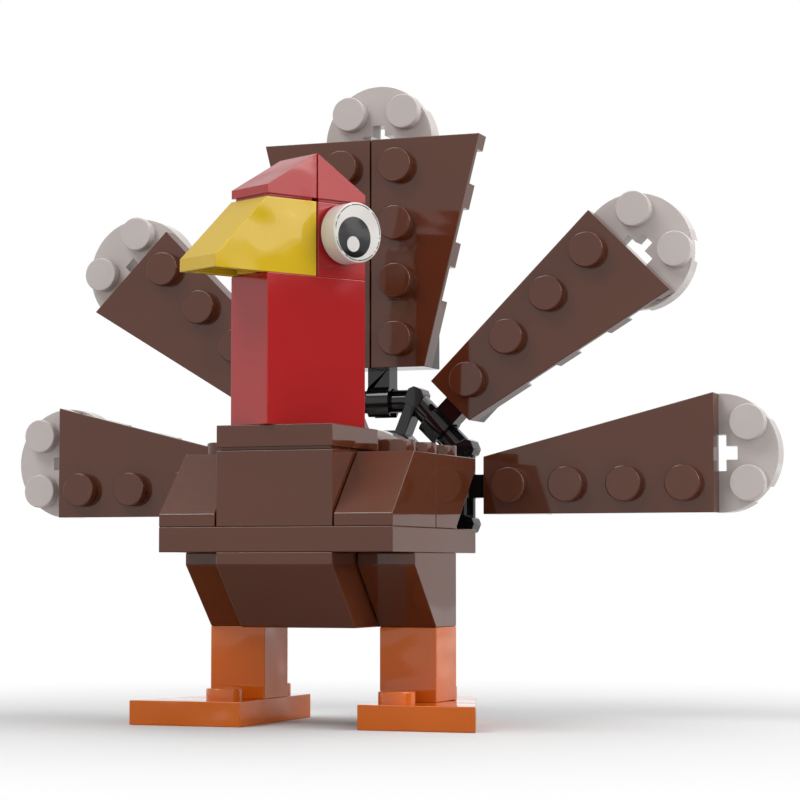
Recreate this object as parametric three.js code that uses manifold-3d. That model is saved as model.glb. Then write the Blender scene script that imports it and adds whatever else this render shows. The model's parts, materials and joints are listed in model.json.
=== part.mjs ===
// A turkey of building blocks: a stepped body on two legs, a head that turns on one stud,
// and five tail feathers clipped to an eight-sided frame that turns behind the body.
// Millimetres, +Z up, the turkey looks towards -Y and stands on Z = 0.

import * as THREE from 'three';
import { mergeVertices } from 'three/addons/utils/BufferGeometryUtils.js';
import Module from 'manifold-3d';

const wasm = await Module();
wasm.setup();

// The grid that all the blocks share
const pitch = 8;
const half = pitch / 2;
const plate = 3.2;
const brick = 3 * plate;
const play = 0.1;

// Walls, studs and what grips them
const wall = 1.2;
const wallGap = 0.3;
const studHeight = 1.6;
const headRoom = 0.6;
const gripGap = 0.15;
const studRadius = half - play - wall - wallGap;
const roof = plate - studHeight - headRoom;
const tubeRadius = half * Math.SQRT2 - studRadius - gripGap;
const pinRadius = half - studRadius - gripGap;
const socketRadius = studRadius + gripGap;
const socketDepth = studHeight + gripGap;

// Slopes and grooves
const lip = 1.6;
const slopeSkin = 1.7;
const grooveHeight = 0.4;
const grooveDepth = 0.4;
const crownRise = 6.2;
const crownLip = 1.5;
const crownSkin = 1.3;

// The head
const neckHeight = 2 * brick;
const holderWall = 0.9;
const holderHeight = 3.0;
const headDegrees = -30;
const sideStudDrop = 4.0;
const eyeThickness = plate;
const eyeFloor = 1.2;

// The cross-shaped axle and the hole that it fits
const axleRadius = 2.3;
const axleArm = 1.6;
const axleGap = 0.1;

// The pin in the rear block, and the turntable behind it
const holeDrop = 3.6;
const holeRadius = 2.45;
const holeWall = 0.95;
const counterRadius = 3.1;
const counterDepth = 0.9;
const pinGap = 0.1;
const hubRadius = pitch - play;
const baseThickness = plate;
const discThickness = 1.6;
const stemRadius = 2.75;
const snapWidth = 0.25;
const snapHeight = 0.6;
const turnGap = 0.12;

// The eight-sided frame
const frameSides = 8;
const barRadius = 1.6;
const barReach = 12;
const spokeWidth = 1.6;
const knuckleWidth = 2.4;
const knuckleReach = 1.9;
const knuckleInset = 0.8;
const knuckleChamfer = 0.6;

// The clips and the feathers
const clipGap = 0.2;
const clipWall = 0.7;
const clipWidth = 3.2;
const clipMouth = 2.4;
const clipReach = 4.3;
const notchWidth = 4.6;
const notchShift = 0.5;

// How many studs long the pieces are that have more than one or two
const deckStuds = 4;
const featherStuds = 4;
const footStuds = 3;

// How finely round things are cut, how far a cut runs past a face, and how deep a join goes
const studSides = 14;
const coveredSides = 8;
const gripSides = 8;
const rimSides = 28;
const barSides = 10;
const overrun = 0.5;
const sink = 0.3;

// Places that follow from the grid, with the layers counted in plates from the floor
const layerShares = { legs: 1, belly: 4, deck: 7, chest: 8, jumper: 11, neck: 12 };
const layer = (name) => layerShares[name] * plate;
const sideColumn = (deckStuds - 1) * half;
const tailHeight = layer('jumper') - holeDrop;
const hubFront = deckStuds * half;
const discFront = hubFront + baseThickness;
const frameFront = discFront + discThickness;
const frameMiddle = frameFront + plate / 2;

// Colours and finishes
const finishes = {
  brown: { color: 0x5a2f20, roughness: 0.25, metalness: 0 },
  red: { color: 0xa81c1c, roughness: 0.22, metalness: 0 },
  yellow: { color: 0xf0c12e, roughness: 0.22, metalness: 0 },
  orange: { color: 0xe06f1c, roughness: 0.25, metalness: 0 },
  grey: { color: 0xa9a3a0, roughness: 0.28, metalness: 0 },
  black: { color: 0x141416, roughness: 0.3, metalness: 0 },
  white: { color: 0xf1ede8, roughness: 0.22, metalness: 0 },
};

// Turns a closed geometry into a solid that can be joined and cut
function toSolid(geometry) {
  geometry.deleteAttribute('normal');
  geometry.deleteAttribute('uv');
  const welded = mergeVertices(geometry);
  return new wasm.Manifold(new wasm.Mesh({
    numProp: 3,
    vertProperties: new Float32Array(welded.attributes.position.array),
    triVerts: new Uint32Array(welded.index.array),
  }));
}

// Turns a solid back into a geometry that a mesh can show
function toGeometry(solid) {
  const mesh = solid.getMesh();
  const geometry = new THREE.BufferGeometry();
  geometry.setAttribute('position', new THREE.BufferAttribute(mesh.vertProperties, 3));
  geometry.setIndex(new THREE.BufferAttribute(mesh.triVerts, 1));
  geometry.computeVertexNormals();
  return geometry;
}

// Joins a list of solids into one
function join(solids) {
  return solids.reduce((whole, next) => whole.add(next));
}

// A copy of a solid, shifted and turned by a matrix
function moved(solid, matrix) {
  const geometry = toGeometry(solid);
  geometry.applyMatrix4(matrix);
  return toSolid(geometry);
}

// A box from its lowest to its highest corner
function block(x0, x1, y0, y1, z0, z1) {
  const geometry = new THREE.BoxGeometry(x1 - x0, y1 - y0, z1 - z0);
  geometry.translate((x0 + x1) / 2, (y0 + y1) / 2, (z0 + z1) / 2);
  return toSolid(geometry);
}

// A box that reaches as far to each side of the middle
function centredBlock(reachX, reachY, z0, z1) {
  return block(-reachX, reachX, -reachY, reachY, z0, z1);
}

// An upright round post
function post(radius, z0, z1, x, y, sides) {
  const geometry = new THREE.CylinderGeometry(radius, radius, z1 - z0, sides);
  geometry.rotateX(Math.PI / 2);
  geometry.translate(x, y, (z0 + z1) / 2);
  return toSolid(geometry);
}

// A round post that lies along Y
function lyingPost(radius, y0, y1, z, sides) {
  const geometry = new THREE.CylinderGeometry(radius, radius, y1 - y0, sides);
  geometry.translate(0, (y0 + y1) / 2, z);
  return toSolid(geometry);
}

// A round rod that lies along X
function rod(radius, length, y, z, sides) {
  const geometry = new THREE.CylinderGeometry(radius, radius, length, sides);
  geometry.rotateZ(Math.PI / 2);
  geometry.translate(0, y, z);
  return toSolid(geometry);
}

// An outline in X and Y, raised from z0 to z1
function raised(points, z0, z1) {
  const shape = new THREE.Shape(points.map(([x, y]) => new THREE.Vector2(x, y)));
  const geometry = new THREE.ExtrudeGeometry(shape, { depth: z1 - z0, bevelEnabled: false });
  geometry.translate(0, 0, z0);
  return toSolid(geometry);
}

// An outline in Y and Z, drawn out along X to both sides of the middle
function drawn(points, reachX) {
  const shape = new THREE.Shape(points.map(([y, z]) => new THREE.Vector2(y, z)));
  const geometry = new THREE.ExtrudeGeometry(shape, { depth: 2 * reachX, bevelEnabled: false });
  const along = new THREE.Vector3(1, 0, 0);
  const across = new THREE.Vector3(0, 1, 0);
  const up = new THREE.Vector3(0, 0, 1);
  geometry.applyMatrix4(new THREE.Matrix4().makeBasis(across, up, along));
  geometry.translate(-reachX, 0, 0);
  return toSolid(geometry);
}

// Half the real width of a block that is so many studs wide
function reach(count) {
  return count * half - play;
}

// The grid places of so many columns and rows, from their middle
function gridPlaces(columns, rows) {
  const places = [];
  for (let column = 0; column < columns; column += 1) {
    for (let row = 0; row < rows; row += 1) {
      places.push([(2 * column + 1 - columns) * half, (2 * row + 1 - rows) * half]);
    }
  }
  return places;
}

// Studs on a face at height z
function studs(places, z, sides = studSides) {
  return join(places.map(([x, y]) => post(studRadius, z - sink, z + studHeight, x, y, sides)));
}

// The room that the studs below need in what covers them
function studSockets(places) {
  return join(places.map(([x, y]) => post(socketRadius, -overrun, socketDepth, x, y, studSides)));
}

// A hollow tube that hangs from the roof and grips four studs
function tube(x, y, top) {
  const outside = post(tubeRadius, 0, top + sink, x, y, gripSides);
  return outside.subtract(post(studRadius, -overrun, top, x, y, gripSides));
}

// A thin pin that hangs from the roof and grips two studs
function pin(x, y, top) {
  return post(pinRadius, 0, top + sink, x, y, gripSides);
}

// The outer box of a block, open below
function hollowBox(columns, rows, height) {
  const outside = centredBlock(reach(columns), reach(rows), 0, height);
  return outside.subtract(centredBlock(reach(columns) - wall, reach(rows) - wall, -overrun, height - roof));
}

// The outer box with the tubes or pins that grip the studs below
function shell(columns, rows, height) {
  const top = height - roof;
  const wide = columns > 1 && rows > 1;
  const single = columns === 1 && rows === 1;
  const places = single ? [] : gridPlaces(Math.max(columns - 1, 1), Math.max(rows - 1, 1));
  const grips = places.map(([x, y]) => (wide ? tube(x, y, top) : pin(x, y, top)));
  return join([hollowBox(columns, rows, height), ...grips]);
}

// A plain brick or plate with all its studs
function plainBlock(columns, rows, height, sides = studSides) {
  return shell(columns, rows, height).add(studs(gridPlaces(columns, rows), height, sides));
}

// Cuts the small step that runs round the bottom of a piece
function grooved(solid, side) {
  const band = centredBlock(side + overrun, side + overrun, -overrun, grooveHeight);
  const core = centredBlock(side - grooveDepth, side - grooveDepth, -overrun, grooveHeight);
  return solid.subtract(band.subtract(core));
}

// A two by two plate with a single stud in its middle
function jumperPlate() {
  return grooved(shell(2, 2, plate).add(studs([[0, 0]], plate)), reach(2));
}

// A slope one stud wide and two long that falls towards -Y, with a stud on its flat half
function roofSlope() {
  const width = reach(1);
  const end = reach(2);
  const outside = drawn([[-end, 0], [end, 0], [end, brick], [0, brick], [-end, lip]], width);
  const gradient = (brick - lip) / end;
  const top = brick - roof;
  const crest = (slopeSkin - roof) / gradient;
  const low = lip + gradient * wall - slopeSkin;
  const inner = end - wall;
  const inside = drawn([
    [-inner, -overrun], [inner, -overrun], [inner, top], [crest, top], [-inner, low],
  ], width - wall);
  return join([outside.subtract(inside), pin(0, 0, top).intersect(outside), studs([[0, half]], brick)]);
}

// An upside-down slope that widens upwards towards -Y, with studs over its whole top
function bellySlope(columns, sides = studSides) {
  const width = reach(columns);
  const end = reach(2);
  const foot = play;
  const outside = drawn([[foot, 0], [end, 0], [end, brick], [-end, brick], [-end, brick - lip]], width);
  const gradient = (brick - lip) / (end + foot);
  const top = brick - roof;
  const inner = foot + wall;
  const low = slopeSkin - gradient * wall;
  const crest = foot - (top - slopeSkin) / gradient;
  const inside = drawn([
    [inner, -overrun], [end - wall, -overrun], [end - wall, top], [crest, top], [inner, low],
  ], width - wall);
  const pins = columns > 1 ? [pin(0, half, top)] : [];
  return join([outside.subtract(inside), ...pins, studs(gridPlaces(columns, 2), brick, sides)]);
}

// A brick two studs wide with a round hole through it from front to back
function holeBrick() {
  const side = reach(1);
  const height = brick - holeDrop;
  const ringEnd = side - counterDepth;
  const around = lyingPost(holeRadius + holeWall, wall - side - sink, side - wall + sink, height, gripSides);
  const hole = lyingPost(holeRadius, -side - overrun, side + overrun, height, studSides);
  const frontRing = lyingPost(counterRadius, -side - overrun, -ringEnd, height, studSides);
  const backRing = lyingPost(counterRadius, ringEnd, side + overrun, height, studSides);
  const body = join([hollowBox(2, 1, brick), around, studs(gridPlaces(2, 1), brick)]);
  return body.subtract(join([hole, frontRing, backRing]));
}

// A cross, as an axle and its hole have it
function cross(radius, arm, z0, z1) {
  const bars = join([centredBlock(arm / 2, radius, z0, z1), centredBlock(radius, arm / 2, z0, z1)]);
  return bars.intersect(post(radius, z0, z1, 0, 0, studSides));
}

// The hole that takes a cross axle
function crossHole(z0, z1) {
  return cross(axleRadius + axleGap, axleArm + 2 * axleGap, z0, z1);
}

// The pin that holds the turntable: a round shank for the brick, a collar, and a cross for the base.
// It is made upright, with the seat of the turntable at zero.
function tailPin() {
  const seat = -play;
  const shankEnd = 2 * play - pitch;
  const shank = post(holeRadius - pinGap, shankEnd, seat, 0, 0, studSides);
  const collar = post(counterRadius - pinGap, seat + pinGap - counterDepth, seat, 0, 0, studSides);
  return join([shank, collar, cross(axleRadius, axleArm, seat - sink, baseThickness)]);
}

// The hollow round body that the base and the round plates share
function roundShell() {
  const top = plate - roof;
  const rim = post(hubRadius, 0, plate, 0, 0, rimSides);
  const core = post(tubeRadius, -overrun, top, 0, 0, gripSides);
  return rim.subtract(post(hubRadius - wall, -overrun, top, 0, 0, rimSides).subtract(core));
}

// The fixed half of the turntable, with the stem and lip that hold the disc
function turntableBase() {
  const lipTop = baseThickness + discThickness - turnGap;
  const stem = post(stemRadius, baseThickness - sink, lipTop, 0, 0, studSides);
  const snap = post(stemRadius + snapWidth, lipTop - snapHeight, lipTop, 0, 0, studSides);
  return join([roundShell(), stem, snap]).subtract(crossHole(-overrun, baseThickness));
}

// The turning half of the turntable, with four studs and a stepped bore round the stem
function turntableDisc() {
  const step = discThickness - snapHeight - 2 * turnGap;
  const bore = post(stemRadius + turnGap, -overrun, discThickness, 0, 0, studSides);
  const seat = post(stemRadius + snapWidth + turnGap, step, discThickness, 0, 0, studSides);
  const rim = post(hubRadius, 0, discThickness, 0, 0, rimSides);
  return rim.subtract(join([bore, seat])).add(studs(gridPlaces(2, 2), discThickness, coveredSides));
}

// A regular outline with the frame's number of sides, by the distance of its sides from the middle
function frameOutline(apothem) {
  const corner = apothem / Math.cos(Math.PI / frameSides);
  return Array.from({ length: frameSides }, (_, index) => {
    const angle = ((2 * index + 1) * Math.PI) / frameSides;
    return [corner * Math.cos(angle), corner * Math.sin(angle)];
  });
}

// One spoke with the knuckle that joins two bars, running along +Y
function frameSpoke() {
  const corner = barReach / Math.cos(Math.PI / frameSides);
  const spoke = block(-spokeWidth / 2, spokeWidth / 2, hubRadius - sink, corner, 0, plate);
  const side = knuckleWidth / 2;
  const inner = corner - knuckleInset;
  const outer = corner + knuckleReach;
  const knuckle = raised([
    [-side, inner], [side, inner], [side, outer - knuckleChamfer],
    [side - knuckleChamfer, outer], [knuckleChamfer - side, outer], [-side, outer - knuckleChamfer],
  ], 0, plate);
  return spoke.add(knuckle);
}

// The ring of bars on its spokes, in an even pattern round the middle
function frameRing() {
  const bar = rod(barRadius, 2 * barReach * Math.tan(Math.PI / frameSides), barReach, plate / 2, barSides);
  const spoke = frameSpoke();
  const turned = (solid, steps) => moved(solid, new THREE.Matrix4().makeRotationZ((steps * Math.PI) / frameSides));
  const parts = [];
  for (let index = 0; index < frameSides; index += 1) {
    parts.push(turned(bar, 2 * index), turned(spoke, 2 * index + 1));
  }
  return join(parts);
}

// The frame: an eight-sided plate with four studs inside the ring of bars
function tailFrame() {
  const top = plate - roof;
  const outside = raised(frameOutline(hubRadius), 0, plate);
  const inside = raised(frameOutline(hubRadius - wall), -overrun, top);
  const places = gridPlaces(2, 2);
  const centre = outside.subtract(join([inside, studSockets(places)]));
  return join([centre, tube(0, 0, top), studs(places, plate), frameRing()]);
}

// A plate with a clip on its long side. The clip's bar lies along X through the origin,
// and the plate reaches away from it towards +Y.
function clipPlate(columns) {
  const depth = plate / 2;
  const shift = new THREE.Matrix4().makeTranslation(0, clipReach + half, -depth);
  const body = moved(plainBlock(columns, 1, plate, coveredSides), shift);
  const bore = barRadius + clipGap;
  const outer = bore + clipWall;
  const arm = block(-clipWidth / 2, clipWidth / 2, 0, clipReach + play + sink, -depth, depth);
  const mouth = block(-clipWidth, clipWidth, -outer - overrun, 0, -clipMouth / 2, clipMouth / 2);
  const ring = rod(outer, clipWidth, 0, 0, rimSides / 2).add(arm);
  const jaws = ring.subtract(join([rod(bore, clipWidth + overrun, 0, 0, rimSides / 2), mouth]));
  return body.add(jaws);
}

// A wedge plate so many studs long: one stud wide at its near end and two at its far end.
// It runs along +Y from zero. Its slanting side is on the side of `side`, the other is straight.
function wedgePlate(count, side) {
  const length = count * pitch;
  const top = plate - roof;
  const gradient = pitch / (length - 2 * play);
  const slantAt = (y) => reach(1) + gradient * (y - play);
  const outline = (inset, slantInset) => {
    const near = play + inset;
    const far = length - play - inset;
    const straight = side * (inset - reach(1));
    return [
      [straight, near], [side * (slantAt(near) - slantInset), near],
      [side * (slantAt(far) - slantInset), far], [straight, far],
    ];
  };
  const full = raised(outline(0, 0), 0, plate);
  const hollow = raised(outline(wall, wall * Math.hypot(1, gradient)), -overrun, top);
  const rows = Array.from({ length: count }, (_, index) => index * pitch + half);
  const beyond = pitch + half;
  const notches = rows.filter((y) => slantAt(y) > pitch - studRadius).map((y) => {
    const near = y - notchShift - notchWidth / 2;
    const far = near + notchWidth;
    const from = Math.max(pinRadius, slantAt(near) - 2 * wall);
    return raised([[side * from, near], [side * beyond, near], [side * beyond, far], [side * from, far]], -overrun, top);
  });
  const grips = rows.slice(1).map((y) => y - half).map((y) => {
    const wide = slantAt(y) > half + tubeRadius;
    return wide ? tube(side * half, y, top).intersect(full) : pin(0, y, top);
  });
  return join([full.subtract(join([hollow, ...notches])), ...grips, studs(rows.map((y) => [0, y]), plate)]);
}

// A round two by two plate with a cross hole through its middle
function roundPlate() {
  const places = gridPlaces(2, 2);
  const body = roundShell().subtract(studSockets(places)).add(studs(places, plate));
  return body.subtract(crossHole(-overrun, plate + overrun));
}

// The tall block of the neck, with a holder inside for the stud under its middle
function neckBlock() {
  const holderReach = socketRadius + holderWall;
  const holder = centredBlock(reach(1) - wall + sink, holderReach, 0, holderHeight);
  const socket = post(socketRadius, -overrun, holderHeight + overrun, 0, 0, studSides);
  const body = hollowBox(1, 2, neckHeight).add(holder.subtract(socket));
  return body.add(studs(gridPlaces(1, 2), neckHeight, coveredSides));
}

// The small roof block of the crown: highest at its +Y side, falling towards -Y
function crownSlope() {
  const side = reach(1);
  const outside = drawn([[-side, 0], [side, 0], [side, crownRise], [-side, crownLip]], side);
  const gradient = (crownRise - crownLip) / (2 * side);
  const inner = side - wall;
  const floorAt = (y) => crownLip + gradient * (y + side) - crownSkin;
  const inside = drawn([
    [-inner, -overrun], [inner, -overrun], [inner, floorAt(inner)], [-inner, floorAt(-inner)],
  ], inner);
  return grooved(outside, side).subtract(inside).subtract(studSockets([[0, 0]]));
}

// The block of the eyes, with a stud on its top and one on each side
function eyeBlock() {
  const side = reach(1);
  const height = brick - sideStudDrop;
  const aside = new THREE.Matrix4().makeRotationY(Math.PI / 2).setPosition(0, 0, height);
  const across = moved(post(studRadius, -side - studHeight, side + studHeight, 0, 0, studSides), aside);
  const core = centredBlock(side - sink, side - sink, height - studRadius - sink, brick - sink);
  return join([hollowBox(1, 1, brick), core, across, studs([[0, 0]], brick, coveredSides)]);
}

// A round tile, face up, with a socket for one stud
function roundTile() {
  const radius = reach(1);
  const rim = post(radius, grooveHeight, eyeThickness, 0, 0, rimSides);
  const foot = post(radius - grooveDepth, 0, grooveHeight + sink, 0, 0, rimSides);
  const socket = post(socketRadius, -overrun, eyeThickness - eyeFloor, 0, 0, studSides);
  return rim.add(foot).subtract(socket);
}

// Makes a named mesh from a solid, at a place and turn in its group
function addPiece(group, name, solid, finish, place = [0, 0, 0], turn = [0, 0, 0]) {
  const mesh = new THREE.Mesh(toGeometry(solid), new THREE.MeshStandardMaterial(finishes[finish]));
  mesh.name = name;
  mesh.position.set(...place);
  mesh.rotation.set(...turn);
  group.add(mesh);
}

// A leg with its foot. The foot points forward, straight inside and slanting outside.
function addLeg(group, name, side) {
  const x = side * sideColumn;
  const back = half + footStuds * half;
  addPiece(group, `foot_${name}`, wedgePlate(footStuds, -side), 'orange', [x, back, 0], [0, 0, Math.PI]);
  addPiece(group, `leg_${name}`, plainBlock(1, 1, brick, coveredSides), 'orange', [x, half, layer('legs')]);
}

// The lower layer: four upside-down slopes under the deck plate
function addBelly(group) {
  const z = layer('belly');
  const back = [0, 0, Math.PI];
  addPiece(group, 'belly_front', bellySlope(2, coveredSides), 'brown', [0, -pitch, z]);
  addPiece(group, 'belly_back', bellySlope(2, coveredSides), 'brown', [0, pitch, z], back);
  addPiece(group, 'belly_left', bellySlope(1, coveredSides), 'brown', [sideColumn, 0, z]);
  addPiece(group, 'belly_right', bellySlope(1, coveredSides), 'brown', [-sideColumn, 0, z]);
  addPiece(group, 'deck_plate', plainBlock(deckStuds, deckStuds, plate, coveredSides), 'brown', [0, 0, layer('deck')]);
}

// The upper layer: chest, shoulders, rump and the brick that holds the tail
function addChest(group) {
  const z = layer('chest');
  const back = [0, 0, Math.PI];
  addPiece(group, 'chest_brick', plainBlock(2, 2, brick, coveredSides), 'brown', [0, -pitch, z]);
  addPiece(group, 'shoulder_left', roofSlope(), 'brown', [sideColumn, -pitch, z]);
  addPiece(group, 'shoulder_right', roofSlope(), 'brown', [-sideColumn, -pitch, z]);
  addPiece(group, 'rump_left', bellySlope(1), 'brown', [sideColumn, pitch, z], back);
  addPiece(group, 'rump_right', bellySlope(1), 'brown', [-sideColumn, pitch, z], back);
  addPiece(group, 'back_brick', plainBlock(2, 1, brick), 'brown', [0, half, z]);
  addPiece(group, 'tail_brick', holeBrick(), 'brown', [0, pitch + half, z]);
  addPiece(group, 'neck_jumper', jumperPlate(), 'brown', [0, -pitch, layer('jumper')]);
}

// The head, which turns on the stud of the jumper
function makeHead() {
  const head = new THREE.Group();
  head.position.set(0, -pitch, layer('neck'));
  head.rotation.z = THREE.MathUtils.degToRad(headDegrees);
  const eyeTop = neckHeight + brick;
  const eyeHeight = eyeTop - sideStudDrop;
  addPiece(head, 'neck_brick', neckBlock(), 'red');
  addPiece(head, 'beak', roofSlope(), 'yellow', [0, -pitch, neckHeight]);
  addPiece(head, 'eye_brick', eyeBlock(), 'red', [0, half, neckHeight]);
  addPiece(head, 'eye_left', roundTile(), 'white', [half, half, eyeHeight], [0, Math.PI / 2, 0]);
  addPiece(head, 'eye_right', roundTile(), 'white', [-half, half, eyeHeight], [0, -Math.PI / 2, 0]);
  addPiece(head, 'crown_front', crownSlope(), 'red', [0, -half, eyeTop]);
  addPiece(head, 'crown_back', crownSlope(), 'red', [0, half, eyeTop], [0, 0, Math.PI]);
  return head;
}

// The turntable and the frame behind the body
function addTailHub(group) {
  const turn = [-Math.PI / 2, 0, 0];
  addPiece(group, 'tail_pin', tailPin(), 'black', [0, hubFront, tailHeight], turn);
  addPiece(group, 'turntable_base', turntableBase(), 'grey', [0, hubFront, tailHeight], turn);
  addPiece(group, 'turntable_disc', turntableDisc(), 'grey', [0, discFront, tailHeight], turn);
  addPiece(group, 'tail_frame', tailFrame(), 'black', [0, frameFront, tailHeight], turn);
}

// One feather on one bar of the frame, with its studs towards the head. `sides` names the
// slanting side of each of its wedge plates, and two plates lie straight side to straight side.
function makeFeather(name, degrees, sides) {
  const feather = new THREE.Group();
  const angle = THREE.MathUtils.degToRad(degrees);
  feather.position.set(Math.sin(angle) * barReach, frameMiddle, tailHeight + Math.cos(angle) * barReach);
  feather.rotation.y = angle;
  const pair = sides.length > 1;
  const depth = plate / 2;
  const turn = [Math.PI / 2, 0, 0];
  addPiece(feather, `clip_${name}`, clipPlate(sides.length), 'black', [0, 0, 0], turn);
  sides.forEach((side) => {
    const label = side > 0 ? `${name}_left` : `${name}_right`;
    const place = [pair ? side * half : 0, -depth, clipReach];
    addPiece(feather, `feather_${pair ? label : name}`, wedgePlate(featherStuds, side), 'brown', place, turn);
  });
  const tipPlace = [pair ? 0 : sides[0] * half, depth, clipReach + featherStuds * pitch];
  addPiece(feather, `tip_${name}`, roundPlate(), 'grey', tipPlace, turn);
  return feather;
}

const turkey = new THREE.Group();
addLeg(turkey, 'left', 1);
addLeg(turkey, 'right', -1);
addBelly(turkey);
addChest(turkey);
turkey.add(makeHead());
addTailHub(turkey);
turkey.add(makeFeather('low_left', 90, [-1]));
turkey.add(makeFeather('high_left', 45, [1]));
turkey.add(makeFeather('top', 0, [-1, 1]));
turkey.add(makeFeather('high_right', -45, [-1]));
turkey.add(makeFeather('low_right', -90, [1]));

// The origin is on the floor, under the middle of the whole turkey
const group = new THREE.Group();
group.add(turkey);
group.updateMatrixWorld(true);
const middle = new THREE.Box3().setFromObject(turkey, true).getCenter(new THREE.Vector3());
turkey.position.set(-middle.x, -middle.y, 0);

export default group;
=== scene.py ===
"""Dresses the building block turkey: finely moulded pieces, gloss plastic, light and camera.

Inside a piece every length is in millimetres, as on the drawing. A finished piece is brought
to metres and to its place in the frame of the CAD part, and its object stays at the origin.
"""

import json
import logging
import math
from dataclasses import dataclass
from enum import Enum
from typing import Callable, Iterable, Sequence

import bpy
from mathutils import Matrix, Vector


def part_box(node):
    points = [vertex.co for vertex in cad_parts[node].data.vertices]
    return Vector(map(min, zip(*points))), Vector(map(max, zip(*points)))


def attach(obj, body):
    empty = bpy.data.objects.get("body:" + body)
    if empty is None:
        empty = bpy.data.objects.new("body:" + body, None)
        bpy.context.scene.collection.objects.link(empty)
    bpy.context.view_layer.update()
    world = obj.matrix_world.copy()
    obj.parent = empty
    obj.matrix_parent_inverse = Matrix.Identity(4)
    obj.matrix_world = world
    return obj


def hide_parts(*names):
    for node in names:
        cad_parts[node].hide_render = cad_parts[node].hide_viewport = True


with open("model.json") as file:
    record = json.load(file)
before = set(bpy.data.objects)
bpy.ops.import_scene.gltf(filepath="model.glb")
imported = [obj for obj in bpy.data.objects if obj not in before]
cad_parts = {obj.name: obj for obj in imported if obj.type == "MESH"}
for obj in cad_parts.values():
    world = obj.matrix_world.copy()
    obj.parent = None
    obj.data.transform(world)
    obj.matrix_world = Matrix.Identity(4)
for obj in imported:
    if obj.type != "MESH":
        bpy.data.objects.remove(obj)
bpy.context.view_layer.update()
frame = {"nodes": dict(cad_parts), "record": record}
BODY_OF = {
    node: body
    for body, nodes in frame["record"]["behaviour"]["bodies"].items()
    for node in nodes
}

LOG = logging.getLogger("turkey")
MM = 0.001
QUARTER = math.pi / 2
HALF_TURN = math.pi

# A face whose normal has at least this share in a direction faces that way.
FACING = 0.9
ALIGNED = 0.995

# Edges sharper than the first get rounded, and faces that meet flatter than the second shade
# as one.
SHARP_ANGLE = math.radians(25)
SMOOTH_ANGLE = math.radians(38)

# How many sides stand for a round.
ROUND_SIDES = 48
STUD_SIDES = 56
TUBE_SIDES = 44
PIN_SIDES = 32
BAR_SIDES = 40
CLIP_SIDES = 56
EYE_SIDES = 96
PLATE_SIDES = 112

Point = Sequence[float]
Thing = bpy.types.Object
Colour = tuple[float, float, float, float]

WHITE_LIGHT: Colour = (1.0, 1.0, 1.0, 1.0)
LEFT_AND_RIGHT = (("left", 1), ("right", -1))


class Part(Enum):
    """What a selection picks on a mesh."""

    FACES = "FACE"
    EDGES = "EDGE"
    POINTS = "VERT"


class Shaping(Enum):
    """How a second solid changes the first."""

    CUT = "DIFFERENCE"
    JOIN = "UNION"


class Lying(Enum):
    """The axis that a round rod lies along."""

    ACROSS = (0.0, QUARTER, 0.0)
    ALONG = (QUARTER, 0.0, 0.0)


@dataclass(frozen=True)
class Grid:
    """The sizes that all the blocks share, in millimetres.

    Attributes:
        pitch: Distance between two studs.
        plate: Height of a plate.
        play: Gap that each side of a block leaves to its grid line.
        wall: Thickness of the outer walls.
        roof: Thickness of the top.
        stud: Radius of a stud.
        stud_height: Height of a stud.
        grip: Gap between a stud and what grips it.
        edge: Rounding of the outer edges.
        fine_edge: Rounding of the edges of small and thin parts.
        inner_edge: Rounding of the edges round holes and inside.
        stud_edge: Rounding of a stud's rim.
        sink: How deep a part that is put on goes into what carries it.
        overrun: How far a cut runs past a face.
        hair: Distance that keeps two hidden faces apart.
    """

    pitch: float = 8.0
    plate: float = 3.2
    play: float = 0.1
    wall: float = 1.2
    roof: float = 1.0
    stud: float = 2.4
    stud_height: float = 1.6
    grip: float = 0.15
    edge: float = 0.13
    fine_edge: float = 0.1
    inner_edge: float = 0.08
    stud_edge: float = 0.2
    sink: float = 0.3
    overrun: float = 0.5
    hair: float = 0.02

    @property
    def half(self) -> float:
        """Half the pitch."""
        return self.pitch / 2

    @property
    def brick(self) -> float:
        """Height of a brick."""
        return 3 * self.plate

    @property
    def tube(self) -> float:
        """Radius of the tube between four studs."""
        return self.half * math.sqrt(2) - self.stud - self.grip

    @property
    def pin(self) -> float:
        """Radius of the pin between two studs."""
        return self.half - self.stud - self.grip

    @property
    def socket(self) -> float:
        """Radius of the room that a stud needs."""
        return self.stud + self.grip

    def reach(self, count: int) -> float:
        """Half the real width of a block that is so many studs wide."""
        return count * self.half - self.play

    def places(self, columns: int, rows: int) -> list[tuple[float, float]]:
        """The places of some rows of studs.

        Args:
            columns: How many studs lie side by side in X.
            rows: How many lie one behind the other in Y.

        Returns:
            X and Y of each stud, from the middle of them all.
        """
        across = [(2 * column + 1 - columns) * self.half for column in range(columns)]
        along = [(2 * row + 1 - rows) * self.half for row in range(rows)]
        return [(x, y) for x in across for y in along]


GRID = Grid()


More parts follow.
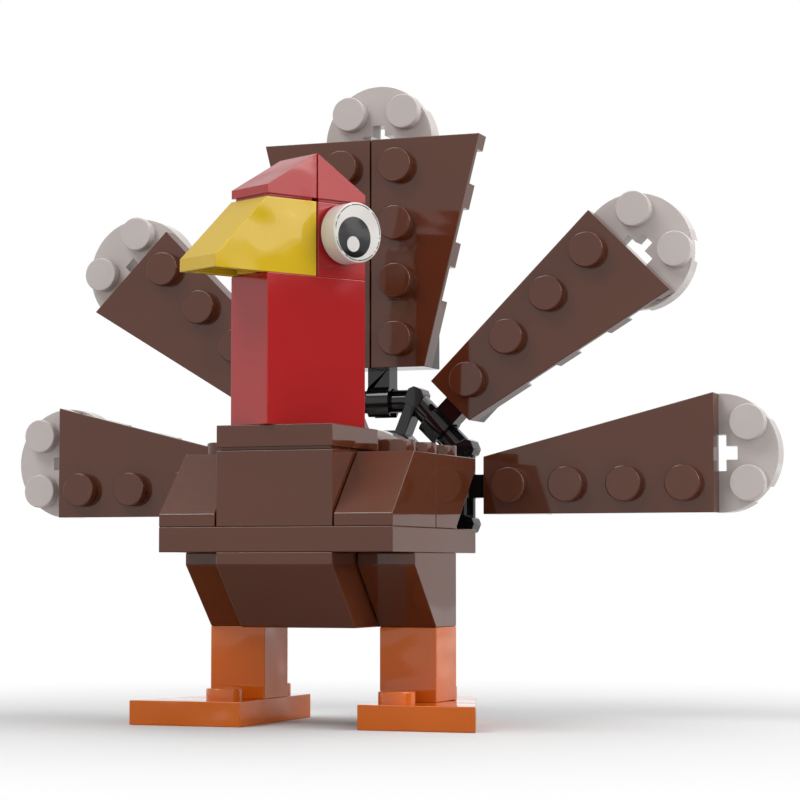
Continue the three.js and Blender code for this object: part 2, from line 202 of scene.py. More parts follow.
class Number:
    """A number that a material works out, usable in sums."""

    def __init__(self, shader: "Shader", socket: bpy.types.NodeSocket) -> None:
        """Wraps a socket.

        Args:
            shader: The material's writer, which adds the nodes.
            socket: The socket that gives the number.
        """
        self.shader = shader
        self.socket = socket

    def maths(self, operation: str, *values: "Number | float") -> "Number":
        """Adds a Math node on some values.

        Args:
            operation: The node's operation.
            *values: Its inputs, in order.

        Returns:
            The result as a number.
        """
        sockets = dict(enumerate(values))
        node = self.shader.add("ShaderNodeMath", {"operation": operation}, sockets)
        return Number(self.shader, node.outputs[0])

    def __add__(self, other: "Number | float") -> "Number":
        """Sum."""
        return self.maths("ADD", self, other)

    __radd__ = __add__

    def __sub__(self, other: "Number | float") -> "Number":
        """Difference."""
        return self.maths("SUBTRACT", self, other)

    def __rsub__(self, other: "Number | float") -> "Number":
        """Difference the other way round."""
        return self.maths("SUBTRACT", other, self)

    def __mul__(self, other: "Number | float") -> "Number":
        """Product."""
        return self.maths("MULTIPLY", self, other)

    __rmul__ = __mul__

    def larger(self, other: "Number") -> "Number":
        """The larger of two."""
        return self.maths("MAXIMUM", self, other)

    def hypot(self, other: "Number") -> "Number":
        """Length of the long side over two short ones."""
        total = self * self + other * other
        return self.maths("SQRT", total)

    def distance(self, other: float) -> "Number":
        """How far it is from a fixed value, without sign."""
        return self.maths("ABSOLUTE", self - other)

    def step(self, low: float, high: float) -> "Number":
        """Rises smoothly from 0 at low to 1 at high, or falls if high is lower.

        Args:
            low: Value where the result is 0.
            high: Value where the result is 1.

        Returns:
            The mask.
        """
        limits = {"Value": self, "From Min": min(low, high), "From Max": max(low, high)}
        ends = {"To Min": 0.0, "To Max": 1.0} if high > low else {"To Min": 1.0, "To Max": 0.0}
        node = self.shader.add(
            "ShaderNodeMapRange", {"interpolation_type": "SMOOTHSTEP"}, {**limits, **ends}
        )
        return Number(self.shader, node.outputs[0])


class Shader:
    """Writes the nodes of one material."""

    def __init__(self, tree: bpy.types.NodeTree) -> None:
        """Starts on an empty tree.

        Args:
            tree: The node tree to write in.
        """
        self.tree = tree
        tree.nodes.clear()

    def add(self, kind: str, settings: dict, sockets: dict) -> bpy.types.Node:
        """Adds a node.

        Args:
            kind: The node's type.
            settings: Its own settings, which are set first.
            sockets: Values or links of its inputs, by name, identifier or number.

        Returns:
            The node.
        """
        node = self.tree.nodes.new(kind)
        for key, value in settings.items():
            setattr(node, key, value)
        for key, value in sockets.items():
            self.feed(self.find(node, key), value)
        return node

    def find(self, node: bpy.types.Node, key: str | int) -> bpy.types.NodeSocket:
        """Finds an input of a node.

        Args:
            node: The node.
            key: The input's identifier, name or number.

        Returns:
            The input.
        """
        for socket in node.inputs:
            if socket.identifier == key:
                return socket
        return node.inputs[key]

    def feed(self, socket: bpy.types.NodeSocket, value: object) -> None:
        """Links a value to an input, or sets it there.

        Args:
            socket: The input.
            value: A number or a socket to link, or a plain value.
        """
        if isinstance(value, Number):
            self.tree.links.new(value.socket, socket)
        elif isinstance(value, bpy.types.NodeSocket):
            self.tree.links.new(value, socket)
        else:
            socket.default_value = value

    def place(self) -> bpy.types.NodeSocket:
        """The point on the object, in metres."""
        return self.add("ShaderNodeTexCoord", {}, {}).outputs["Object"]

    def along(self, place: bpy.types.NodeSocket, origin: Vector, direction: Vector) -> Number:
        """How far a point lies along a direction, in millimetres.

        Args:
            place: The point, in metres.
            origin: Where the distance is zero, in metres.
            direction: The direction, of length one.

        Returns:
            The distance.
        """
        moved = self.add(
            "ShaderNodeVectorMath", {"operation": "SUBTRACT"}, {0: place, 1: tuple(origin)}
        )
        product = self.add(
            "ShaderNodeVectorMath", {"operation": "DOT_PRODUCT"},
            {0: moved.outputs[0], 1: tuple(direction / MM)},
        )
        return Number(self, product.outputs["Value"])

    def noise(self, place: bpy.types.NodeSocket, size: float, detail: float = 2.0) -> Number:
        """A soft random pattern between 0 and 1.

        Args:
            place: The point, in metres.
            size: The width of its patches, in millimetres.
            detail: How many finer layers it has.

        Returns:
            The pattern.
        """
        sockets = {"Vector": place, "Scale": 1 / (size * MM), "Detail": detail, "Roughness": 0.5}
        node = self.add("ShaderNodeTexNoise", {"noise_dimensions": "3D"}, sockets)
        return Number(self, node.outputs[0])

    def mix(self, factor: Number, first: object, second: object) -> bpy.types.NodeSocket:
        """Mixes two colours.

        Args:
            factor: How much of the second shows.
            first: Colour at 0.
            second: Colour at 1.

        Returns:
            The mixed colour's socket.
        """
        node = self.add(
            "ShaderNodeMix", {"data_type": "RGBA"},
            {"Factor_Float": factor, "A_Color": first, "B_Color": second},
        )
        return node.outputs[2]

    def bump(self, height: Number, depth: float, under: object = None) -> bpy.types.NodeSocket:
        """Tilts the surface by a height pattern.

        Args:
            height: The pattern, between 0 and 1.
            depth: How high 1 is, in millimetres.
            under: A normal that this one goes on top of.

        Returns:
            The normal's socket.
        """
        sockets = {"Strength": 1.0, "Distance": depth * MM, "Height": height}
        if under is not None:
            sockets["Normal"] = under
        return self.add("ShaderNodeBump", {}, sockets).outputs[0]

    def glow(self, strength: float) -> bpy.types.Node:
        """Adds a white emission."""
        return self.add("ShaderNodeEmission", {}, {"Color": WHITE_LIGHT, "Strength": strength})

    def finish(self, look: bpy.types.Node) -> None:
        """Sends a shader node to the output."""
        self.add("ShaderNodeOutputMaterial", {}, {"Surface": look.outputs[0]})


def new_material(name: str) -> tuple[bpy.types.Material, Shader]:
    """Makes an empty material.

    Args:
        name: Its name.

    Returns:
        The material and the writer of its nodes.
    """
    made = bpy.data.materials.new(name)
    made.use_nodes = True
    return made, Shader(made.node_tree)


def linear(red: float, green: float, blue: float) -> Colour:
    """A screen colour as the renderer's own values.

    Args:
        red: Its red, from 0 to 255.
        green: Its green.
        blue: Its blue.

    Returns:
        The colour.
    """

    def channel(value: float) -> float:
        """One channel."""
        share = value / 255
        return share / 12.92 if share <= 0.04045 else ((share + 0.055) / 1.055) ** 2.4

    return channel(red), channel(green), channel(blue), 1.0


def shaded(colour: Sequence[float], factor: float) -> Colour:
    """A colour made lighter or darker by a factor."""
    return colour[0] * factor, colour[1] * factor, colour[2] * factor, 1.0


@dataclass(frozen=True)
class Moulding:
    """What moulding and handling do to any plastic, with sizes in millimetres.

    Attributes:
        swell: Width of the swells in a flat face.
        grain: Width of the dots of a grained face.
        skin: Width of the dots of a smooth face.
        skin_depth: How deep those are.
        handling: Width of the patches that are more or less blurred.
        spread: How much the roughness varies over them.
        flow: Width of the lighter and darker patches.
        edges: Where in the pattern those patches begin and end.
        shades: How dark and how light they are.
        bending: The refractive index.
    """

    swell: float = 9.0
    grain: float = 0.22
    skin: float = 0.5
    skin_depth: float = 0.0007
    handling: float = 5.0
    spread: float = 0.04
    flow: float = 14.0
    edges: tuple[float, float] = (0.25, 0.75)
    shades: tuple[float, float] = (0.955, 1.045)
    bending: float = 1.5


MOULDING = Moulding()


@dataclass(frozen=True)
class Plastic:
    """A moulded plastic.

    Attributes:
        name: The material's name.
        slot: The record's material slot. Not used.
        colour: Its own colour, as the renderer's values.
        roughness: How blurred its reflections are.
        wave: How far its flat faces swell and sink, in millimetres.
        grain: How deep the fine texture of the mould is, in millimetres, or 0.
    """

    name: str
    slot: str
    colour: Colour
    roughness: float = 0.05
    wave: float = 0.05
    grain: float = 0.0

    def surface(self, shader: Shader, colour: object) -> bpy.types.Node:
        """Adds the plastic's surface under a colour.

        Args:
            shader: The material's writer.
            colour: The base colour, as a value or a link.

        Returns:
            The shader node.
        """
        place = shader.place()
        normal = shader.bump(shader.noise(place, MOULDING.swell, 1.0), self.wave)
        dots = shader.noise(place, MOULDING.grain if self.grain else MOULDING.skin, 3.0)
        normal = shader.bump(dots, self.grain or MOULDING.skin_depth, normal)
        handling = shader.noise(place, MOULDING.handling, 4.0)
        least = self.roughness - MOULDING.spread / 2
        sockets = {
            "Base Color": colour,
            "Roughness": handling * MOULDING.spread + least,
            "Normal": normal,
            "IOR": MOULDING.bending,
        }
        return shader.add("ShaderNodeBsdfPrincipled", {}, sockets)

    def material(self) -> bpy.types.Material:
        """Gives the material and makes it at its first use.

        Returns:
            The material.
        """
        found = bpy.data.materials.get(self.name)
        if found is not None:
            return found
        made, shader = new_material(self.name)
        flow = shader.noise(shader.place(), MOULDING.flow).step(*MOULDING.edges)
        dark, light = (shaded(self.colour, shade) for shade in MOULDING.shades)
        shader.finish(self.surface(shader, shader.mix(flow, dark, light)))
        return made


BROWN_COLOUR = linear(91, 47, 28)
RED_COLOUR = linear(172, 34, 35)
YELLOW_COLOUR = linear(214, 178, 32)
GRAIN_ROUGHNESS = 0.3
GRAIN_WAVE = 0.02

BROWN = Plastic("brown_plastic", "brown", BROWN_COLOUR)
BROWN_GRAIN = Plastic("brown_slope", "brown", BROWN_COLOUR, GRAIN_ROUGHNESS, GRAIN_WAVE, 0.02)
RED = Plastic("red_plastic", "red", RED_COLOUR)
RED_SLOPE = Plastic("red_slope", "red", RED_COLOUR, wave=0.28)
YELLOW = Plastic("yellow_plastic", "yellow", YELLOW_COLOUR, wave=0.42)
YELLOW_GRAIN = Plastic(
    "yellow_slope", "yellow", YELLOW_COLOUR, GRAIN_ROUGHNESS, GRAIN_WAVE, 0.012
)
ORANGE = Plastic("orange_plastic", "orange", linear(212, 103, 23), wave=0.5)
GREY = Plastic("light_grey_plastic", "grey", linear(203, 194, 190))
BLACK = Plastic("black_plastic", "black", linear(22, 22, 24))
WHITE = Plastic("white_plastic", "white", linear(218, 213, 208), wave=0.3)
RING_INK = linear(70, 68, 68)
PUPIL_INK = linear(16, 16, 17)


@dataclass(frozen=True)
class EyePrint:
    """The printed face of one eye, with sizes in millimetres.

    Attributes:
        name: The material's name.
        centre: Middle of the printed face, in metres.
        outward: Direction that the face looks in.
        forward: Direction towards the beak, in the face.
        pupil: Radius of the dark round.
        pupil_shift: How far its middle lies forward and down.
        glint: Radius of the light spot.
        glint_shift: How far its middle lies forward and down.
        ring: Radius of the thin printed ring near the rim, broken by a painted reflection.
        ring_width: Width of that ring's line.
        soft: How far the print's edges fade.
        face: The levels between which the print begins, from the face's own level.
        speck: Width of the patches that break the ring, a painted reflection over the print.
        breaks: Where in the pattern those patches begin and end.
    """

    name: str
    centre: Vector
    outward: Vector
    forward: Vector
    pupil: float = 2.64
    pupil_shift: tuple[float, float] = (0.55, 0.67)
    glint: float = 1.0
    glint_shift: tuple[float, float] = (0.73, 1.55)
    ring: float = 3.6
    ring_width: float = 0.13
    soft: float = 0.05
    face: tuple[float, float] = (-0.2, -0.15)
    speck: float = 0.9
    breaks: tuple[float, float] = (0.42, 0.47)

    def material(self) -> bpy.types.Material:
        """Makes the eye's material: white plastic with the print on its face.

        Returns:
            The material.
        """
        made, shader = new_material(self.name)
        place = shader.place()
        across = shader.along(place, self.centre, self.forward)
        up = shader.along(place, self.centre, Vector((0.0, 0.0, 1.0)))
        level = shader.along(place, self.centre, self.outward)
        on_face = level.step(*self.face)

        def disc(radius: float, shift: tuple[float, float]) -> Number:
            """A filled round of the print."""
            far = (across - shift[0]).hypot(up + shift[1])
            return far.step(radius + self.soft, radius - self.soft) * on_face

        from_ring = across.hypot(up).distance(self.ring)
        line = from_ring.step(self.ring_width / 2 + self.soft, self.soft / 2)
        # The gaps that break the printed ring are a painted reflection.
        broken = line * shader.noise(place, self.speck, 1.0).step(*self.breaks)
        colour = shader.mix(broken * on_face, WHITE.colour, RING_INK)
        colour = shader.mix(disc(self.pupil, self.pupil_shift), colour, PUPIL_INK)
        colour = shader.mix(disc(self.glint, self.glint_shift), colour, WHITE.colour)
        shader.finish(WHITE.surface(shader, colour))
        return made


class Bench:
    """Adds, shapes and joins meshes with Blender's own tools, in millimetres."""

    def clear(self) -> None:
        """Leaves edit mode and deselects everything."""
        if bpy.context.object is not None and bpy.context.object.mode != "OBJECT":
            bpy.ops.object.mode_set(mode="OBJECT")
        bpy.ops.object.select_all(action="DESELECT")

    def pick(self, *things: Thing) -> None:
        """Selects only some objects, the first as the active one.

        Args:
            *things: The objects.
        """
        self.clear()
        for thing in things:
            thing.select_set(True)
        bpy.context.view_layer.objects.active = things[0]

    def settle(self, thing: Thing) -> Thing:
        """Moves an object's place, turn and scale into its mesh.

        Args:
            thing: The object.

        Returns:
            The same object.
        """
        self.pick(thing)
        bpy.ops.object.transform_apply(location=True, rotation=True, scale=True)
        return thing

    def block(self, low: Point, high: Point) -> Thing:
        """Adds a box.

        Args:
            low: Its lowest corner.
            high: Its highest corner.

        Returns:
            The box.
        """
        self.clear()
        middle = [(a + b) / 2 for a, b in zip(low, high)]
        bpy.ops.mesh.primitive_cube_add(size=1, location=middle)
        thing = bpy.context.object
        thing.scale = [b - a for a, b in zip(low, high)]
        return self.settle(thing)

    def post(
        self, radius: float, low: float, high: float, at: Point = (0, 0), sides: int = ROUND_SIDES
    ) -> Thing:
        """Adds an upright round post.

        Args:
            radius: Its radius.
            low: Height of its foot.
            high: Height of its top.
            at: Its place in X and Y.
            sides: How many sides it has.

        Returns:
            The post.
        """
        self.clear()
        middle = (at[0], at[1], (low + high) / 2)
        bpy.ops.mesh.primitive_cylinder_add(
            vertices=sides, radius=radius, depth=high - low, location=middle
        )
        return self.settle(bpy.context.object)

    def rod(
        self, radius: float, length: float, middle: Point, lying: Lying, sides: int = ROUND_SIDES
    ) -> Thing:
        """Adds a round rod.

        Args:
            radius: Its radius.
            length: Its length.
            middle: Its middle.
            lying: The axis that it lies along.
            sides: How many sides it has.

        Returns:
            The rod.
        """
        self.clear()
        bpy.ops.mesh.primitive_cylinder_add(
            vertices=sides, radius=radius, depth=length, location=middle, rotation=lying.value
        )
        return self.settle(bpy.context.object)

    def choose(self, thing: Thing, part: Part, test: Callable[[object], bool]) -> None:
        """Goes into edit mode with only some parts of a mesh selected.

        Args:
            thing: The object.
            part: Which kind of part.
            test: Says of a face, edge or point whether it is wanted.
        """
        self.pick(thing)
        bpy.ops.object.mode_set(mode="EDIT")
        bpy.ops.mesh.select_mode(type=part.value)
        bpy.ops.mesh.select_all(action="DESELECT")
        bpy.ops.object.mode_set(mode="OBJECT")
        mesh = thing.data
        parts = {Part.FACES: mesh.polygons, Part.EDGES: mesh.edges, Part.POINTS: mesh.vertices}
        for item in parts[part]:
            item.select = test(item)
        bpy.ops.object.mode_set(mode="EDIT")

    def choose_all(self, thing: Thing) -> None:
        """Goes into edit mode with all the faces of a mesh selected."""
        self.choose(thing, Part.FACES, lambda face: True)

    def sink_chosen(self, wall: float, rise: float) -> None:
        """Insets the chosen faces and moves what lies inside up or down.

        Args:
            wall: Width of the border that stays.
            rise: How far the inside moves up.
        """
        bpy.ops.mesh.inset(thickness=wall)
        bpy.ops.mesh.extrude_region_move(TRANSFORM_OT_translate={"value": (0, 0, rise)})
        self.clear()

    def pocket(self, thing: Thing, wall: float, depth: float) -> None:
        """Sinks a pocket into the underside, with an even wall round it.

        Args:
            thing: The object.
            wall: Thickness of the wall.
            depth: How deep the pocket is.
        """
        self.choose(thing, Part.FACES, lambda face: face.normal.z < -FACING)
        self.sink_chosen(wall, depth)

    def slice_off(self, thing: Thing, at: Point, outward: Point) -> None:
        """Cuts off what lies beyond a plane and closes the cut.

        Args:
            thing: The object.
            at: A point of the plane.
            outward: The way to what is cut off, square to the plane.
        """
        self.choose_all(thing)
        normal = Vector(outward).normalized()
        bpy.ops.mesh.bisect(plane_co=at, plane_no=normal, use_fill=True, clear_outer=True)
        self.clear()

    def shift_points(self, thing: Thing, test: Callable[[Vector], bool], by: Point) -> None:
        """Moves some points of a mesh.

        Args:
            thing: The object.
            test: Says of a point's place whether it moves.
            by: How far it moves.
        """
        self.choose(thing, Part.POINTS, lambda point: test(point.co))
        bpy.ops.transform.translate(value=by)
        self.clear()

    def apply(self, thing: Thing, modifier: bpy.types.Modifier) -> None:
        """Makes a modifier's work part of the mesh."""
        self.pick(thing)
        bpy.ops.object.modifier_apply(modifier=modifier.name)

    def shape(self, thing: Thing, tool: Thing, shaping: Shaping) -> None:
        """Cuts or joins one solid with another, which is used up.

        Args:
            thing: The solid that stays.
            tool: The other.
            shaping: Whether it cuts or joins.
        """
        modifier = thing.modifiers.new("shape", "BOOLEAN")
        modifier.operation = shaping.value
        modifier.solver = "EXACT"
        modifier.object = tool
        self.apply(thing, modifier)
        bpy.data.objects.remove(tool)

    def cut(self, thing: Thing, *tools: Thing) -> Thing:
        """Cuts solids out of another, one after the other.

        Args:
            thing: The solid that stays.
            *tools: The solids that are cut out and used up.

        Returns:
            The first solid.
        """
        for tool in tools:
            self.shape(thing, tool, Shaping.CUT)
        return thing

    def soften(self, thing: Thing, width: float = GRID.edge, segments: int = 3) -> Thing:
        """Rounds the sharp edges.

        Args:
            thing: The object.
            width: Width of the rounding.
            segments: How many flat strips make it up.

        Returns:
            The same object.
        """
        modifier = thing.modifiers.new("edge", "BEVEL")
        modifier.width = width
        modifier.segments = segments
        modifier.limit_method = "ANGLE"
        modifier.angle_limit = SHARP_ANGLE
        self.apply(thing, modifier)
        return thing

    def copy(self, thing: Thing, move: Matrix) -> Thing:
        """Copies an object with its own mesh, moved.

        Args:
            thing: The object.
            move: How the copy's mesh is moved or turned.

        Returns:
            The copy.
        """
        twin = thing.copy()
        twin.data = thing.data.copy()
        twin.data.transform(move)
        bpy.context.scene.collection.objects.link(twin)
        return twin

    def join(self, things: list[Thing]) -> Thing:
        """Joins objects into one.

        Args:
            things: The objects.

        Returns:
            The one object.
        """
        self.pick(*things)
        if len(things) > 1:
            bpy.ops.object.join()
        return bpy.context.object

    def paint(self, thing: Thing, plastic: Plastic) -> None:
        """Gives an object one material."""
        thing.data.materials.clear()
        thing.data.materials.append(plastic.material())

    def repaint(self, thing: Thing, material: bpy.types.Material) -> None:
        """Puts a material into all the slots of an object."""
        for slot in thing.material_slots:
            slot.material = material

    def paint_faces(self, thing: Thing, plastic: Plastic, test: Callable[[Vector], bool]) -> None:
        """Gives some faces a second material.

        Args:
            thing: The object.
            plastic: The material.
            test: Says of a face's normal whether it gets the material.
        """
        thing.data.materials.append(plastic.material())
        for face in thing.data.polygons:
            if test(face.normal):
                face.material_index = len(thing.data.materials) - 1


BENCH = Bench()


@dataclass
class Moulds:
    """The forms that more than one piece of the turkey is pressed in.

    Attributes:
        stud_form: The stud that all the others are copied from, once it is made.
        stud_strips: How many flat strips round a stud's rim.
        prop: Height of the pin under a roof slope, as a share of the room's height.
        notch: Width of the notch that a wedge plate leaves for a stud.
        notch_lead: How far that notch's middle lies before the stud beside it.
        pillar_gap: How much less than a tube's radius the pillar of a round plate has.
        cross_reach: Half the length of a cross hole's bars.
        cross_width: Width of a cross hole's bars.
    """

    stud_form: Thing | None = None
    stud_strips: int = 4
    prop: float = 0.72
    notch: float = 4.6
    notch_lead: float = 0.5
    pillar_gap: float = 0.05
    cross_reach: float = 2.4
    cross_width: float = 1.8

    def studs(self, places: Iterable[Point], height: float) -> list[Thing]:
        """Studs on a face.

        Args:
            places: Where they stand, in X and Y.
            height: Height of the face.

        Returns:
            One object for each stud.
        """
        if self.stud_form is None:
            form = BENCH.post(GRID.stud, -GRID.sink, GRID.stud_height, sides=STUD_SIDES)
            BENCH.choose(form, Part.FACES, lambda face: face.normal.z > FACING)
            bpy.ops.mesh.bevel(offset=GRID.stud_edge, segments=self.stud_strips, affect="EDGES")
            BENCH.clear()
            self.stud_form = form
        return [BENCH.copy(self.stud_form, Matrix.Translation((x, y, height))) for x, y in places]

    def done(self) -> None:
        """Throws the stud form away."""
        bpy.data.objects.remove(self.stud_form)
        self.stud_form = None

    def tube(self, x: float, y: float, top: float) -> Thing:
        """A hollow tube that hangs from the roof.

        Args:
            x: Its place in X.
            y: Its place in Y.
            top: Height of the roof's underside.

        Returns:
            The tube.
        """
        tube = BENCH.post(GRID.tube, 0, top + GRID.sink, (x, y), TUBE_SIDES)
        BENCH.pocket(tube, GRID.tube - GRID.stud, top - GRID.hair)
        return BENCH.soften(tube, GRID.inner_edge, 2)

    def pin(self, x: float, y: float, top: float) -> Thing:
        """A thin pin that hangs from the roof, as high as a tube."""
        pin = BENCH.post(GRID.pin, 0, top + GRID.sink, (x, y), PIN_SIDES)
        return BENCH.soften(pin, GRID.fine_edge, 2)

    def box(self, columns: int, rows: int, height: float) -> Thing:
        """The outer box of a block, open below, with rounded edges.

        Args:
            columns: How many studs wide it is.
            rows: How many studs deep it is.
            height: Its height.

        Returns:
            The box.
        """
        across, along = GRID.reach(columns), GRID.reach(rows)
        box = BENCH.block((-across, -along, 0), (across, along, height))
        BENCH.pocket(box, GRID.wall, height - GRID.roof)
        return BENCH.soften(box)

    def grips(self, columns: int, rows: int, height: float) -> list[Thing]:
        """The tubes or pins under a block.

        Args:
            columns: How many studs wide it is.
            rows: How many studs deep it is.
            height: Its height.

        Returns:
            One object for each tube or pin.
        """
        if columns == 1 and rows == 1:
            return []
        form = self.tube if columns > 1 and rows > 1 else self.pin
        places = GRID.places(max(columns - 1, 1), max(rows - 1, 1))
        return [form(x, y, height - GRID.roof) for x, y in places]

    def plain(self, columns: int, rows: int, height: float) -> list[Thing]:
        """A plain brick or plate with all its studs.

        Args:
            columns: How many studs wide it is.
            rows: How many studs deep it is.
            height: Its height.

        Returns:
            Its parts.
        """
        studs = self.studs(GRID.places(columns, rows), height)
        return [self.box(columns, rows, height), *self.grips(columns, rows, height), *studs]

    def stepped_box(self, side: float, height: float, step: float) -> list[Thing]:
        """A square box, open below, whose foot is set back by a small step.

        Args:
            side: Half its width.
            height: Its height.
            step: Height and depth of the step.

        Returns:
            Its parts.
        """
        inner = side - GRID.wall
        parts = []
        for reach, low, high in ((side, step, height), (side - step, 0, step + GRID.sink)):
            part = BENCH.block((-reach, -reach, low), (reach, reach, high))
            room = BENCH.block((-inner, -inner, -GRID.overrun), (inner, inner, height - GRID.roof))
            parts.append(BENCH.soften(BENCH.cut(part, room), GRID.fine_edge))
        return parts

    def roof_slope(self, plastic: Plastic, grain: Plastic, lip: float, skin: float) -> list[Thing]:
        """A slope that falls towards -Y, with a stud on its flat half.

        Args:
            plastic: The finish.
            grain: The finish of its slanting face.
            lip: Height of its low front.
            skin: Thickness under the slanting face, measured upright.

        Returns:
            Its parts.
        """
        width, end, height = GRID.reach(1), GRID.reach(2), GRID.brick
        fall = height - lip
        outward = (0.0, -fall, end)
        body = BENCH.block((-width, -end, 0), (width, end, height))
        BENCH.slice_off(body, (0, 0, height), outward)
        top = height - GRID.roof
        crest = (skin - GRID.roof) / (fall / end)
        inner = width - GRID.wall
        room = BENCH.block((-inner, GRID.wall - end, -GRID.overrun), (inner, end - GRID.wall, top))
        BENCH.slice_off(room, (0, crest, top), outward)
        BENCH.soften(BENCH.cut(body, room))
        BENCH.paint(body, plastic)
        slant = Vector(outward).normalized()
        BENCH.paint_faces(body, grain, lambda normal: normal.dot(slant) > ALIGNED)
        pin = self.pin(0, 0, crest + top * self.prop)
        return [body, pin, *self.studs([(0, GRID.half)], height)]

    def belly_slope(self, columns: int, lip: float, skin: float) -> list[Thing]:
        """An upside-down slope that widens upwards towards -Y, with studs all over its top.

        Args:
            columns: How many studs wide it is.
            lip: Height of its upright front edge.
            skin: Thickness over the slanting face, measured upright.

        Returns:
            Its parts.
        """
        width, end, height, foot = GRID.reach(columns), GRID.reach(2), GRID.brick, GRID.play
        rise, run = height - lip, end + foot
        outward = (0.0, -rise, -run)
        body = BENCH.block((-width, -end, 0), (width, end, height))
        BENCH.slice_off(body, (0, foot, 0), outward)
        top = height - GRID.roof
        inner = foot + GRID.wall
        crest = foot - (top - skin) * run / rise
        side = width - GRID.wall
        room = BENCH.block((-side, crest, -GRID.overrun), (side, end - GRID.wall, top))
        BENCH.slice_off(room, (0, crest, top), outward)
        below = BENCH.block((-side, inner, -GRID.overrun), (side, end - GRID.wall, height / 2))
        BENCH.soften(BENCH.cut(body, room, below))
        pins = [self.pin(0, GRID.half, top)] if columns > 1 else []
        return [body, *pins, *self.studs(GRID.places(columns, 2), height)]

    def wedge(self, count: int, side: int) -> list[Thing]:
        """A wedge plate, one stud wide at its near end and two at its far end, along +Y.

        Args:
            count: How many studs long it is.
            side: 1 or -1, the side in X that slants.

        Returns:
            Its parts.
        """
        length = count * GRID.pitch
        near, far, width = GRID.play, length - GRID.play, GRID.reach(1)
        gradient = GRID.pitch / (far - near)
        top = GRID.plate - GRID.roof
        body = BENCH.block((-width, near, 0), (width, far, GRID.plate))
        spread = (side * GRID.pitch, 0, 0)
        BENCH.shift_points(body, lambda at: at.y > length / 2 and at.x * side > 0, spread)
        BENCH.pocket(body, GRID.wall, top)

        def slant(y: float) -> float:
            """How far the slanting side lies from the middle line."""
            return width + gradient * (y - GRID.play)

        rows = [index * GRID.pitch + GRID.half for index in range(count)]
        for y in rows:
            if slant(y) > GRID.pitch - GRID.stud:
                low = y - self.notch_lead - self.notch / 2
                start = max(GRID.pin, slant(low) - 2 * GRID.wall)
                left, right = sorted((side * start, side * (GRID.pitch + GRID.half)))
                corner = (right, low + self.notch, top - GRID.hair)
                BENCH.cut(body, BENCH.block((left, low, -GRID.overrun), corner))
        BENCH.soften(body, GRID.fine_edge)
        grips = []
        for y in (row - GRID.half for row in rows[1:]):
            wide = slant(y) > GRID.half + GRID.tube
            grips.append(self.tube(side * GRID.half, y, top) if wide else self.pin(0, y, top))
        return [body, *grips, *self.studs([(0, y) for y in rows], GRID.plate)]

    def cut_sockets(self, body: Thing) -> None:
        """Cuts the room for two by two studs into an underside.

        Args:
            body: The solid.
        """
        high = GRID.stud_height + GRID.grip
        rooms = [BENCH.post(GRID.socket, -GRID.overrun, high, at) for at in GRID.places(2, 2)]
        BENCH.cut(body, *rooms)

    def round_body(self, radius: float) -> Thing:
        """The hollow round body of a round plate, with a pillar in its middle.

        Args:
            radius: Its radius.

        Returns:
            The body.
        """
        top = GRID.plate - GRID.roof
        body = BENCH.post(radius, 0, GRID.plate, sides=PLATE_SIDES)
        BENCH.pocket(body, GRID.wall, top)

        def pocket_top(face: bpy.types.MeshPolygon) -> bool:
            """Whether a face is the top of the pocket."""
            return face.normal.z < -FACING and face.center.z > GRID.hair

        BENCH.choose(body, Part.FACES, pocket_top)
        BENCH.sink_chosen(radius - GRID.wall - GRID.tube + self.pillar_gap, -top)
        return body

    def cut_cross(self, body: Thing, high: float, edge: float) -> None:
        """Cuts a cross hole from below and rounds all the edges.

        Args:
            body: The solid.
            high: How high the hole reaches.
            edge: Width of the rounding.
        """
        reach, side = self.cross_reach, self.cross_width / 2
        bars = [
            BENCH.block((-across, -along, -GRID.overrun), (across, along, high))
            for across, along in ((side, reach), (reach, side))
        ]
        BENCH.soften(BENCH.cut(body, *bars), edge)


MOULDS = Moulds()
ABOUT = Matrix.Rotation(HALF_TURN, 4, "Z")


@dataclass
class Assembly:
    """Something that is built of pieces, each on the CAD body that carries it.

    Attributes:
        shift: Where the middle of the deck lies in the row frame, in millimetres.
    """

    shift: Vector

    def at(self, x: float, y: float, z: float) -> Matrix:
        """A place in the row frame, in millimetres from the middle of the deck."""
        return Matrix.Translation((x + self.shift.x, y + self.shift.y, z))

    def finish(self, node: str, parts: list[Thing], place: Matrix, plastic: Plastic) -> Thing:
        """Joins a piece's parts, brings it to its place and hands it to its body.

        Args:
            node: The CAD node that the piece stands for.
            parts: Its parts, in millimetres. Parts with no material get the plastic.
            place: Its place in the row frame, in millimetres.
            plastic: The finish.

        Returns:
            The piece.
        """
        for part in parts:
            if not part.data.materials:
                BENCH.paint(part, plastic)
        piece = BENCH.join(parts)
        piece.name = f"{node}_moulded"
        piece.data.name = piece.name
        piece.matrix_world = Matrix.Scale(MM, 4) @ place
        BENCH.settle(piece)
        BENCH.choose_all(piece)
        bpy.ops.mesh.normals_make_consistent(inside=False)
        BENCH.pick(piece)
        bpy.ops.object.shade_smooth_by_angle(angle=SMOOTH_ANGLE)
        weighting = piece.modifiers.new("weighting", "WEIGHTED_NORMAL")
        weighting.keep_sharp = True
        BENCH.apply(piece, weighting)
        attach(piece, BODY_OF[node])
        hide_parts(node)
        LOG.info("%s: %d faces on body %s", piece.name, len(piece.data.polygons), BODY_OF[node])
        return piece


